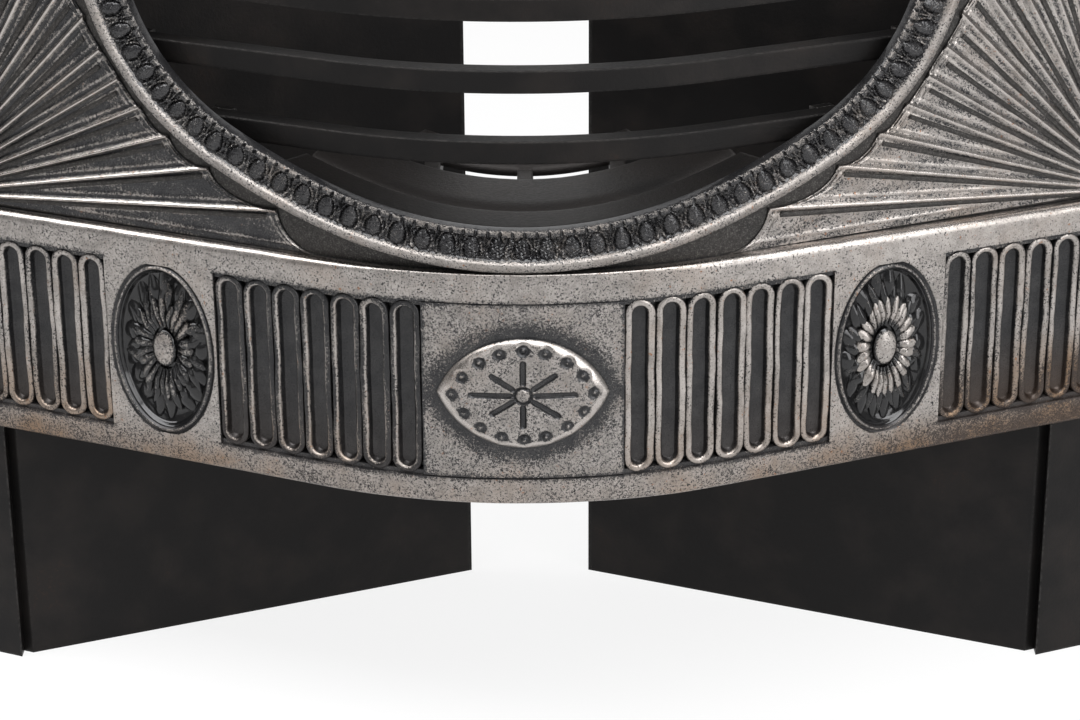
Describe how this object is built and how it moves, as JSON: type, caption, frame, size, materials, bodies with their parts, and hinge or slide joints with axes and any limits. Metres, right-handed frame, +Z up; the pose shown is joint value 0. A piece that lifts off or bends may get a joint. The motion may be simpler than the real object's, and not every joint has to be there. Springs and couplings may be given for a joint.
{
  "type": "hob fire grate",
  "caption": "Cast-iron hob grate with a bowed fluted apron, oval paterae, an egg-moulded ring round a lift-out nest, fire bars, splayed cheeks and flat hobs.",
  "frame": {"origin": "on the floor under the middle of the grate's outline", "axes": "+Z up, the bowed front faces -Y, +X along the front to the viewer's right"},
  "size_m": [0.826, 0.2664, 0.52],
  "materials": {
    "burnished_iron": "burnished relief over blackened ground, worn",
    "blacked_front_iron": "blackened, raised ribs rubbed bright",
    "blackened_iron": "black-leaded, smooth cast",
    "fastener_iron": "forged, blackened"
  },
  "bodies": {
    "grate_frame": {"fluted_apron": "burnished_iron", "nest_ring": "burnished_iron", "right_hob_front": "blacked_front_iron", "left_hob_front": "blacked_front_iron", "right_cheek": "blackened_iron", "left_cheek": "blackened_iron", "right_hob_plate": "blackened_iron", "left_hob_plate": "blackened_iron", "lower_fire_bar": "blackened_iron", "middle_fire_bar": "blackened_iron", "upper_fire_bar": "blackened_iron", "nest_bearer": "blackened_iron", "apron_bolts": "fastener_iron", "ring_bolts": "fastener_iron", "cheek_bolts": "fastener_iron", "fire_bar_bolts": "fastener_iron", "hob_plate_rivets": "fastener_iron", "hob_plate_roves": "fastener_iron", "bearer_bolts": "fastener_iron"},
    "nest": {"nest_grate": "blackened_iron"}
  },
  "joints": [
    {"name": "nest_lift", "type": "slide", "parent": "grate_frame", "child": "nest", "axis": [0, 0, 1], "range_m": [0, 0.2]}
  ]
}
